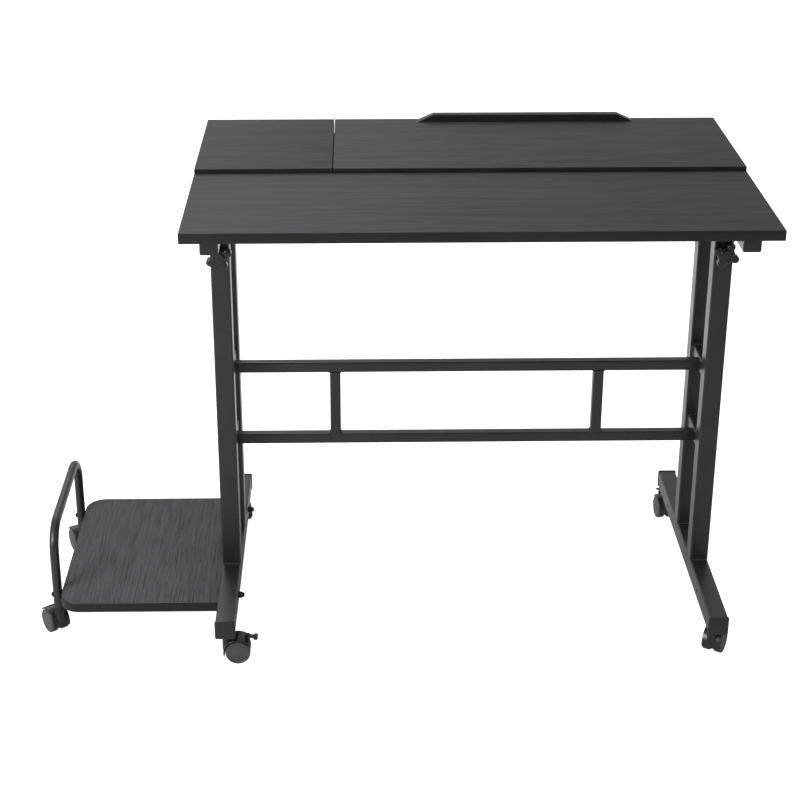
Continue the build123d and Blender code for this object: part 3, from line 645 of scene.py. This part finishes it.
# %% Wheels
def wheel_pair(name):
    shape = bmesh.new()
    rim, hub, dish = 2.3 * MM, 3.4 * MM, 0.55 * MM
    outer_face = [
        (wheel_outer - 1.3 * MM, wheel_radius - 0.1 * MM),
        (wheel_outer - 0.4 * MM, wheel_radius - 0.45 * MM),
        (wheel_outer, wheel_radius - 1.3 * MM), (wheel_outer, wheel_radius - rim),
        (wheel_outer - dish, wheel_radius - rim - 0.6 * MM),
        (wheel_outer - dish * 0.4, wheel_radius * 0.45),
        (wheel_outer - dish * 0.3, hub + 0.5 * MM), (wheel_outer, hub), (wheel_outer, hub * 0.55),
        (wheel_outer - 0.5 * MM, hub * 0.4), (wheel_outer - 0.5 * MM, 0),
    ]
    inner_face = [
        (wheel_inner, 0), (wheel_inner, wheel_radius - 1.6 * MM),
        (wheel_inner + 0.4 * MM, wheel_radius - 0.6 * MM),
        (wheel_inner + 1.4 * MM, wheel_radius - 0.1 * MM),
        ((wheel_inner + wheel_outer) / 2, wheel_radius),
    ]
    place = caster_place(name) @ axle_place
    for mirrored in (1, -1):
        profile = [(mirrored * height, radius) for height, radius in inner_face + outer_face]
        turned(shape, profile, place, 56)
    axle = [(-wheel_inner, 0), (-wheel_inner, wheel_axle_radius)]
    axle += [(wheel_inner, wheel_axle_radius), (wheel_inner, 0)]
    turned(shape, axle, place, 20, material=1)
    body = f"caster_{name}_wheels"
    return finish_piece(f"{body}_pair", shape, [wheel_nylon, zinc], body, [body])


for name in casters:
    wheel_pair(name)

# %% [markdown]
# The hood is a band bent over both wheels. Its cross-section, a thin bar with round edges, is carried round
# the axle, and the web between the wheels is a flat plate of the same arc. The neck's lower rim follows the
# hood's curve, so that it grows out of it without a gap.

# %% Hood, web and neck
hood_inner = wheel_radius + 1.2 * MM
hood_outer = hood_inner + 2.3 * MM
hood_half = 14 * MM
hood_start, hood_end = 38, 192


def hood_band(shape, place, steps=28):
    edge = 1.0 * MM
    section = []
    for y, r, start in (
        (hood_half - edge, hood_outer - edge, 0), (-hood_half + edge, hood_outer - edge, 90),
        (-hood_half + edge, hood_inner + edge, 180), (hood_half - edge, hood_inner + edge, 270),
    ):
        section += arc((y, r), edge, start, start + 90, 4)
    rings = []
    for i in range(steps + 1):
        a = radians(hood_start + (hood_end - hood_start) * i / steps)
        points = [(trail + r * cos(a), y, wheel_radius + r * sin(a)) for y, r in section]
        rings.append([place @ Vector(point) for point in points])
    loft(shape, rings)


def hood_web(shape, place):
    mid = (hood_inner + hood_outer) / 2
    outline = arc((trail, wheel_radius), mid, hood_start, hood_end, 24)
    outline += arc((trail, wheel_radius), wheel_radius * 0.7, hood_end, hood_start + 360, 18)
    upright = place @ Matrix.Rotation(pi / 2, 4, "X")
    slab(shape, outline, -web / 2, web / 2, 0.3 * MM, steps=1, place=upright)


def hood_neck(shape, place, top, turns=40):
    mid = (hood_inner + hood_outer) / 2
    neck = 7.5 * MM
    spots = [(cos(2 * pi * i / turns), sin(2 * pi * i / turns)) for i in range(turns)]

    def hood_height(x):
        reach = abs(x - trail)
        return wheel_radius + sqrt(max(mid**2 - reach**2, 0)) if reach < mid else wheel_radius

    lower = [(neck * c, neck * s, hood_height(neck * c)) for c, s in spots]
    rings = [lower]
    for inset, drop in ((0, 3.2), (0.6, 3.0), (0.6, 2.4), (0, 2.2), (0, 0.9), (0.25, 0.25), (0.9, 0)):
        radius = neck - inset * MM
        rings.append([(radius * c, radius * s, top - drop * MM) for c, s in spots])
    rings.append([(0.4 * neck * c, 0.4 * neck * s, top) for c, s in spots])
    loft(shape, [[place @ Vector(p) for p in points] for points in rings])


# %% Caster housings, with ears and a pin where there is a brake
def caster_housing(name):
    place = caster_place(name)
    node = f"caster_{name}_housing"
    neck_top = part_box(node)[1].z
    shape = bmesh.new()
    hood_band(shape, place)
    hood_web(shape, place)
    hood_neck(shape, place, neck_top)
    rib_angles = (75, 100)
    rib_low = (-0.7 * MM, -9 * MM, hood_outer - 0.6 * MM)
    rib_high = (0.7 * MM, 9 * MM, hood_outer + 0.5 * MM)
    over_axle = place @ Matrix.Translation((trail, 0, wheel_radius))
    for angle in rib_angles:
        rib = over_axle @ Matrix.Rotation(radians(90 - angle), 4, "Y")
        rounded_box(shape, rib_low, rib_high, 0.3 * MM, rib)
    if f"caster_{name}_brake_press" in joints:
        pivot_x, pivot_z = brake_pivot
        inner, outer = 4.4 * MM, 6.9 * MM
        for sign in (-1, 1):
            low, high = sorted((sign * inner, sign * outer))
            outline = arc(brake_pivot, brake_knuckle, -60, 150, 10)
            foot = pivot_z - 7 * MM
            outline += [(pivot_x - 6 * MM, foot + 3 * MM), (pivot_x - 5 * MM, foot)]
            outline.append((pivot_x + 1.5 * MM, foot + 1.5 * MM))
            upright = place @ Matrix.Rotation(pi / 2, 4, "X")
            slab(shape, outline, -high, -low, 0.4 * MM, steps=2, place=upright)
        pin = place @ Matrix.Translation((pivot_x, 0, pivot_z)) @ Matrix.Rotation(pi / 2, 4, "X")
        pin_radius = 1.2 * MM
        rod = [(-outer, 0), (-outer, pin_radius), (outer, pin_radius), (outer, 0)]
        turned(shape, rod, pin, 16, material=1)
    body = f"caster_{name}_swivel"
    finish = [moulded_abs, zinc]
    return finish_piece(f"caster_{name}_hood", shape, finish, body, [node], 40)


for name in casters:
    caster_housing(name)

# %% [markdown]
# The brake pedal is a small T: a knuckle on the pin, a flat arm and a wide toe plate with three grip ribs.

# %% Brake pedals
def brake_pedal(name, arm=8 * MM, reach=14.5 * MM, plate=2.6 * MM, toe=15 * MM, droop=7):
    pivot = Matrix.Translation((brake_pivot[0], 0, brake_pivot[1]))
    place = caster_place(name) @ pivot @ Matrix.Rotation(radians(droop), 4, "Y")
    shape = bmesh.new()
    top = knuckle = brake_knuckle
    across = place @ Matrix.Rotation(pi / 2, 4, "X")
    bore = 1.25 * MM
    barrel = [(-arm / 2, bore), (-arm / 2, knuckle), (arm / 2, knuckle), (arm / 2, bore), (-arm / 2, bore)]
    turned(shape, barrel, across, 24)
    edge = 0.5 * MM
    rounded_box(shape, (1.6 * MM, -arm / 2, top - plate), (reach - 2 * MM, arm / 2, top), edge, place)
    toe_start = reach - 6 * MM
    corner = 1.5 * MM
    outline = arc((reach - corner, toe / 2 - corner), corner, 0, 90, 4)
    outline += arc((toe_start + corner, toe / 2 - corner), corner, 90, 180, 4)
    outline += arc((toe_start + corner, -toe / 2 + corner), corner, 180, 270, 4)
    outline += arc((reach - corner, -toe / 2 + corner), corner, 270, 360, 4)
    slab(shape, outline, top - plate, top - 0.3 * MM, 0.4 * MM, steps=2, place=place)
    grip_pitch, grip_half, grip_depth = 1.5 * MM, 0.35 * MM, 0.8 * MM
    for i in range(3):
        x = toe_start + grip_pitch * (i + 1)
        low = (x - grip_half, -toe / 2 + corner, top - grip_depth)
        high = (x + grip_half, toe / 2 - corner, top)
        rounded_box(shape, low, high, 0.25 * MM, place)
    body = f"caster_{name}_brake"
    return finish_piece(f"{body}_pedal", shape, [moulded_abs], body, [body], 40)


for name in casters:
    if f"caster_{name}_brake_press" in joints:
        brake_pedal(name)

# %% [markdown]
# ## Growing what repeats
# Welds and screws repeat dozens of times, so Geometry Nodes place them. A tree is built here in code with
# named inputs. It runs on a small host mesh that only says where things go, and the result is kept as a
# plain mesh.

# %% Run a tree on a host mesh
def new_tree(name, numbers):
    """A Geometry Nodes tree with a mesh input, named sizes and a material."""
    tree = bpy.data.node_groups.new(name, "GeometryNodeTree")
    tree.interface.new_socket("Geometry", in_out="INPUT", socket_type="NodeSocketGeometry")
    for label, value in numbers.items():
        socket = tree.interface.new_socket(label, in_out="INPUT", socket_type="NodeSocketFloat")
        socket.default_value = value
    tree.interface.new_socket("Material", in_out="INPUT", socket_type="NodeSocketMaterial")
    tree.interface.new_socket("Geometry", in_out="OUTPUT", socket_type="NodeSocketGeometry")
    return tree, add(tree, "NodeGroupInput").outputs


def paint_and_put_out(tree, geometry, material):
    """Gives the geometry its material and ends the tree with it."""
    links = {"Geometry": geometry, "Material": material}
    painted = add(tree, "GeometryNodeSetMaterial", links=links).outputs[0]
    add(tree, "NodeGroupOutput", links={"Geometry": painted})


def grow(name, host_mesh, tree, values):
    """Runs the tree on the host mesh and returns an object with the result as its own plain mesh."""
    host = bpy.data.objects.new(name, host_mesh)
    scene.collection.objects.link(host)
    modifier = host.modifiers.new("grow", "NODES")
    modifier.node_group = tree
    for item in tree.interface.items_tree:
        if item.item_type == "SOCKET" and item.in_out == "INPUT" and item.name in values:
            modifier[item.identifier] = values[item.name]
    scene.view_layers[0].update()
    result = bpy.data.meshes.new_from_object(host.evaluated_get(bpy.context.evaluated_depsgraph_get()))
    host.modifiers.clear()
    host.data = result
    return host


# %% [markdown]
# ## Weld beads
# A hand weld is a row of overlapping puddles, like coins tipped over. The host mesh holds the seams as
# edges. The tree walks along each seam at the pitch of the puddles, sets one small flattened ball at each
# step, and varies their size a little with a fixed seed.

# %% Weld tree
def weld_tree():
    tree, given = new_tree("weld_bead", {"Pitch": 1.6 * MM, "Width": 3.2 * MM, "Variation": 0.18})
    seams = add(tree, "GeometryNodeMeshToCurve", links={"Mesh": given["Geometry"]}).outputs["Curve"]
    links = {"Curve": seams, "Length": given["Pitch"]}
    steps = add(tree, "GeometryNodeCurveToPoints", {"mode": "LENGTH"}, links)
    ball = add(tree, "GeometryNodeMeshUVSphere", {"Segments": 8, "Rings": 5, "Radius": 0.5}).outputs["Mesh"]
    links = {"X": given["Width"], "Y": given["Width"], "Z": calc(tree, "MULTIPLY", given["Pitch"], 1.7)}
    size = add(tree, "ShaderNodeCombineXYZ", links=links).outputs[0]
    chance = add(tree, "FunctionNodeRandomValue", {"data_type": "FLOAT"})
    chance.inputs["Seed"].default_value = 7
    tree.links.new(calc(tree, "SUBTRACT", 1.0, given["Variation"]), chance.inputs[2])
    chance.inputs[3].default_value = 1.0
    links = {0: size, "Scale": chance.outputs[1]}
    varied = add(tree, "ShaderNodeVectorMath", {"operation": "SCALE"}, links).outputs[0]
    links = {"Points": steps.outputs["Points"], "Rotation": steps.outputs["Rotation"]}
    links.update({"Instance": ball, "Scale": varied})
    puddles = add(tree, "GeometryNodeInstanceOnPoints", links=links).outputs[0]
    solid = add(tree, "GeometryNodeRealizeInstances", links={"Geometry": puddles}).outputs[0]
    smooth = add(tree, "GeometryNodeSetShadeSmooth", links={"Geometry": solid}).outputs[0]
    paint_and_put_out(tree, smooth, given["Material"])
    return tree


welds = weld_tree()
print("weld tree nodes:", len(welds.nodes))

# %% [markdown]
# The seams follow from the tubes' boxes: each upright is welded to its foot at the front and the back, the
# short cross tubes to the uprights, the struts to the rails, and the legs and cross bars to the rails of
# the top.

# %% Seams of the base and of the top
end_gap = 2 * MM  # a bead stops short of a tube's rounded corner


def line(a, b):
    """A seam from a to b, shortened by the gap at each end."""
    a, b = Vector(a), Vector(b)
    cut = (b - a).normalized() * end_gap
    return a + cut, b - cut


def base_seams():
    seams = []
    for side in ("left", "right"):
        for row in ("front", "rear"):
            low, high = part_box(f"{side}_{row}_upright")
            for y in (low.y, high.y):
                seams.append(line((low.x, y, low.z), (high.x, y, low.z)))
    for low, high in solid_boxes("cross_tubes"):
        for y in (low.y, high.y):
            for x in (low.x, high.x):
                seams.append(line((x, y, low.z), (x, y, high.z)))
            for z in (low.z, high.z):
                seams.append(line((low.x, y, z), (high.x, y, z)))
    for low, high in solid_boxes("stretcher_struts"):
        for x in (low.x, high.x):
            for z in (low.z, high.z):
                seams.append(line((x, low.y, z), (x, high.y, z)))
    return seams


def top_seams():
    seams = []
    for side in ("left", "right"):
        for row in ("front", "rear"):
            low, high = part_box(f"{side}_{row}_leg")
            for y in (low.y, high.y):
                seams.append(line((low.x, y, high.z), (high.x, y, high.z)))
    for bar in ("mid_cross_bar", "far_cross_bar"):
        low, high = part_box(bar)
        for x in (low.x, high.x):
            for y in (low.y, high.y):
                seams.append(line((x, y, low.z), (x, y, high.z)))
    return seams


def weld_piece(name, seams, body):
    host = bpy.data.meshes.new(name)
    points = [point for seam in seams for point in seam]
    host.from_pydata(points, [(i, i + 1) for i in range(0, len(points), 2)], [])
    piece = grow(name, host, welds, {"Material": powder_coat})
    return tie(piece, body)


weld_piece("base_welds", base_seams(), "base")
weld_piece("top_welds", top_seams(), "top")

# %% [markdown]
# ## Screws and bolts
# The fasteners are pan heads with a cross recess, and socket bolts with a hexagonal one. The tree cuts the
# recess into one head with a Boolean, adds the shank, and copies it to every place, turned to the way it
# was driven.

# %% Fastener tree
def fastener_tree(recess):
    sizes = {"Head": 8 * MM, "Height": 2.5 * MM, "Shank": 4 * MM, "Length": 12 * MM}
    sizes.update({"Recess": 3 * MM, "Depth": 1.4 * MM})
    tree, given = new_tree(f"fastener_{recess}", sizes)

    def times(source, factor):
        return calc(tree, "MULTIPLY", source, factor)

    def lifted(mesh, height):
        up = add(tree, "ShaderNodeCombineXYZ", links={"Z": height}).outputs[0]
        return add(tree, "GeometryNodeTransform", links={"Geometry": mesh, "Translation": up}).outputs[0]

    head_radius, low_part = times(given["Head"], 0.5), times(given["Height"], 0.45)
    links = {"Radius": head_radius, "Depth": low_part}
    foot = add(tree, "GeometryNodeMeshCylinder", {"Vertices": 28}, links).outputs[0]
    foot = lifted(foot, times(low_part, 0.5))
    dome_height = times(given["Height"], 0.6)
    links = {"Radius Bottom": times(head_radius, 0.98), "Radius Top": times(head_radius, 0.62)}
    links["Depth"] = dome_height
    dome = add(tree, "GeometryNodeMeshCone", {"Vertices": 28}, links).outputs[0]
    dome = lifted(dome, times(given["Height"], 0.4))
    both = add(tree, "GeometryNodeMeshBoolean", {"operation": "UNION"})
    tree.links.new(foot, both.inputs["Mesh 2"])
    tree.links.new(dome, both.inputs["Mesh 2"])
    cut = add(tree, "GeometryNodeMeshBoolean", {"operation": "DIFFERENCE"}, {"Mesh 1": both.outputs[0]})
    floor_height = calc(tree, "SUBTRACT", given["Height"], given["Depth"])
    middle = calc(tree, "MULTIPLY_ADD", given["Height"], 0.5, floor_height)
    if recess == "cross":
        slot_width = times(given["Recess"], 0.28)
        for wide, deep in ((given["Recess"], slot_width), (slot_width, given["Recess"])):
            links = {"X": wide, "Y": deep, "Z": given["Height"]}
            size = add(tree, "ShaderNodeCombineXYZ", links=links).outputs[0]
            bar = add(tree, "GeometryNodeMeshCube", links={"Size": size}).outputs[0]
            tree.links.new(lifted(bar, middle), cut.inputs["Mesh 2"])
    else:
        links = {"Radius": times(given["Recess"], 0.5), "Depth": given["Height"]}
        socket = add(tree, "GeometryNodeMeshCylinder", {"Vertices": 6}, links).outputs[0]
        tree.links.new(lifted(socket, middle), cut.inputs["Mesh 2"])
    shank_links = {"Radius": times(given["Shank"], 0.5), "Depth": given["Length"]}
    shank = add(tree, "GeometryNodeMeshCylinder", {"Vertices": 16}, shank_links).outputs[0]
    joined = add(tree, "GeometryNodeJoinGeometry", links={"Geometry": cut.outputs[0]})
    tree.links.new(lifted(shank, times(given["Length"], -0.5)), joined.inputs[0])
    settings = {"data_type": "FLOAT_VECTOR", "Name": "aim"}
    aim = add(tree, "GeometryNodeInputNamedAttribute", settings).outputs[0]
    turn = add(tree, "FunctionNodeAlignRotationToVector", {"axis": "Z"}, {"Vector": aim}).outputs[0]
    links = {"Points": given["Geometry"], "Instance": joined.outputs[0], "Rotation": turn}
    placed = add(tree, "GeometryNodeInstanceOnPoints", links=links).outputs[0]
    solid = add(tree, "GeometryNodeRealizeInstances", links={"Geometry": placed}).outputs[0]
    paint_and_put_out(tree, solid, given["Material"])
    return tree


trees = {recess: fastener_tree(recess) for recess in ("cross", "hexagon")}
print("fastener trees:", list(trees))

# %% [markdown]
# Each fastener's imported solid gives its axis, its head and its length, so the new heads land exactly where
# the old ones were.

# %% Place the fasteners
def fasteners(name, groups, recess, material, body, replaced):
    """groups: {(head, height, shank, length): [(seat point, aim)]}, one run of the tree for each size."""
    meshes = []
    for number, (sizes, spots) in enumerate(sorted(groups.items())):
        host = bpy.data.meshes.new(f"{name}_{number}")
        host.from_pydata([seat for seat, _ in spots], [], [])
        attribute = host.attributes.new("aim", "FLOAT_VECTOR", "POINT")
        for entry, (_, aim) in zip(attribute.data, spots):
            entry.vector = aim
        head, height, shank, length = sizes
        values = {"Head": head, "Height": height, "Shank": shank, "Length": length, "Material": material}
        values["Recess"] = head * (0.5 if recess == "cross" else 0.55)
        values["Depth"] = height * 0.6
        meshes.append(grow(f"{name}_{number}", host, trees[recess], values))
    shape = bmesh.new()
    for made in meshes:
        shape.from_mesh(made.data)
        bpy.data.objects.remove(made)
    return finish_piece(name, shape, [material], body, replaced)


def from_boxes(node, axis, head_side, head_height, shank):
    """Seats and sizes of a node's fasteners. head_side is -1 or 1, the end of the axis with the head."""
    groups = {}
    for low, high in solid_boxes(node):
        middle = (low + high) / 2
        side = head_side(low, high)
        aim = Vector((0, 0, 0))
        aim[axis] = side
        wide = (axis + 1) % 3
        head = high[wide] - low[wide]
        height = head_height(head)
        seat = middle.copy()
        seat[axis] = (high[axis] - height) if side > 0 else (low[axis] + height)
        length = high[axis] - low[axis] - height
        key = tuple(round(value, 6) for value in (head, height, shank(head), length))
        groups.setdefault(key, []).append((tuple(seat), tuple(aim)))
    return groups


pan, leaf_head, big = 2.5 * MM, 1.2 * MM, 7.5 * MM


def sunk_or_pan(head):
    """Height of a head: big heads are pans, small ones are the leaves' sunk screws."""
    return pan if head > big else leaf_head


def half(head):
    return head / 2


top_heads = from_boxes(
    "top_screws", 2, lambda low, high: -1 if high.x - low.x > big else 1, sunk_or_pan, half
)
fasteners("top_screw_set", top_heads, "cross", zinc, "top", ["top_screws"])
tilt_heads = from_boxes("tilt_screws", 2, lambda low, high: -1, sunk_or_pan, half)
fasteners("tilt_screw_set", tilt_heads, "cross", zinc, "tilting_board", ["tilt_screws"])
guard_heads = from_boxes("guard_screws", 0, lambda low, high: -1, lambda head: pan, lambda head: 4 * MM)
fasteners("guard_screw_set", guard_heads, "cross", blackened_steel, "base", ["guard_screws"])
shelf_heads = from_boxes("shelf_bolts", 0, lambda low, high: 1, lambda head: 9 * MM, lambda head: 6 * MM)
fasteners("shelf_bolt_set", shelf_heads, "hexagon", blackened_steel, "base", ["shelf_bolts"])
stretcher_heads = from_boxes(
    "stretcher_bolts", 0, lambda low, high: 1 if (low.x + high.x) / 2 > desk_middle.x else -1,
    lambda head: 4 * MM, lambda head: 6 * MM,
)
fasteners(
    "stretcher_bolt_set", stretcher_heads, "hexagon", blackened_steel, "base",
    ["stretcher_bolts"],
)

# %% [markdown]
# ## Camera
# The desk is seen from the front, a little left of its middle and from above its top, through a long lens.
# The lens shift is small.

# %% Camera
def place_camera(offset, yaw, pitch, focal_mm, shift):
    camera = bpy.data.objects.new("camera", bpy.data.cameras.new("camera"))
    scene.collection.objects.link(camera)
    yaw, pitch = radians(yaw), radians(pitch)
    forward = Vector((sin(yaw) * cos(pitch), cos(yaw) * cos(pitch), -sin(pitch)))
    right = Vector((cos(yaw), -sin(yaw), 0))
    turn = Matrix((right, right.cross(forward), -forward)).transposed().to_4x4()
    camera.matrix_world = Matrix.Translation(desk_middle + Vector(offset)) @ turn
    camera.data.lens = focal_mm
    camera.data.shift_x, camera.data.shift_y = shift
    camera.data.clip_end = 50
    return camera


scene.camera = place_camera((-0.1626, -2.337, 1.474), 0.90, 22.75, 76.4, (0.02, -0.12))
print("camera at", [round(c, 3) for c in scene.camera.location])

# %% [markdown]
# ## Studio
# Black furniture is shot high-key, and its faces show by what they reflect. So the sweep and the surround
# are white to the eye, but what the desk feels of them differs: the surround is brighter above and behind,
# and the floor glows behind the desk, which draws light rims along the sides of the tubes. Three soft lamps
# model the shape: a large one over the left front, a weak fill at the right, and one high behind.

# %% Floor, surround and lamps
def white_when_seen(tree, felt):
    """Strength 1 where the camera looks straight at it, and the felt strength where it lights the desk."""
    straight = add(tree, "ShaderNodeLightPath").outputs["Is Camera Ray"]
    return add(tree, "ShaderNodeMix", {3: 1.0}, {0: straight, 2: felt}).outputs[0]


def studio():
    floor_mesh = bpy.data.meshes.new("studio_floor")
    half_width = 30.0
    corners = [(x * half_width, y * half_width, 0) for x, y in ((-1, -1), (1, -1), (1, 1), (-1, 1))]
    floor_mesh.from_pydata(corners, [], [(0, 1, 2, 3)])
    floor = bpy.data.objects.new("studio_floor", floor_mesh)
    scene.collection.objects.link(floor)
    paper, tree, shader, places = new_surface("white_paper_sweep", Roughness=0.9)
    mottle = add(tree, "ShaderNodeTexNoise", {"Scale": 3.0}, {"Vector": places}).outputs["Fac"]
    colours = {"data_type": "RGBA", 6: linear("#c6c6c6"), 7: linear("#cecece")}
    tree.links.new(add(tree, "ShaderNodeMix", colours, {0: mottle}).outputs[2], shader.inputs["Base Color"])
    shader.inputs["Emission Color"].default_value = linear("#ffffff")
    distance = add(tree, "ShaderNodeSeparateXYZ", links={0: places}).outputs["Y"]
    behind = remap(tree, distance, (0.1, 1.0), (0.0, 0.9))
    tree.links.new(white_when_seen(tree, behind), shader.inputs["Emission Strength"])
    floor_mesh.materials.append(paper)
    world = bpy.data.worlds.new("white_surround")
    world.use_nodes = True
    tree = world.node_tree
    backdrop = tree.nodes["Background"]
    backdrop.inputs["Color"].default_value = linear("#ffffff")
    direction = add(tree, "ShaderNodeTexCoord").outputs["Generated"]
    parts = add(tree, "ShaderNodeSeparateXYZ", links={0: direction}).outputs
    depth = remap(tree, parts["Y"], (-1.0, 1.0), (0.12, 0.38))
    height = remap(tree, parts["Z"], (0.1, 0.8), (0.0, 0.5))
    glow = calc(tree, "ADD", depth, height)
    tree.links.new(white_when_seen(tree, glow), backdrop.inputs["Strength"])
    scene.world = world


def soft_lamp(name, offset, size, watts):
    lamp = bpy.data.lights.new(name, "AREA")
    lamp.shape = "DISK"
    lamp.size = size
    lamp.energy = watts
    holder = bpy.data.objects.new(name, lamp)
    scene.collection.objects.link(holder)
    holder.location = desk_middle + Vector(offset)
    toward_desk = desk_middle + Vector((0, 0, 0.4)) - holder.location
    holder.rotation_euler = toward_desk.to_track_quat("-Z", "Y").to_euler()


studio()
soft_lamp("key_left_front", (-2.3, -2.0, 1.7), 1.6, 92)
soft_lamp("fill_right", (2.4, -1.4, 1.4), 1.8, 5)
soft_lamp("rim_behind", (-1.2, 2.4, 2.4), 2.0, 16)
scene.view_settings.view_transform = "Standard"
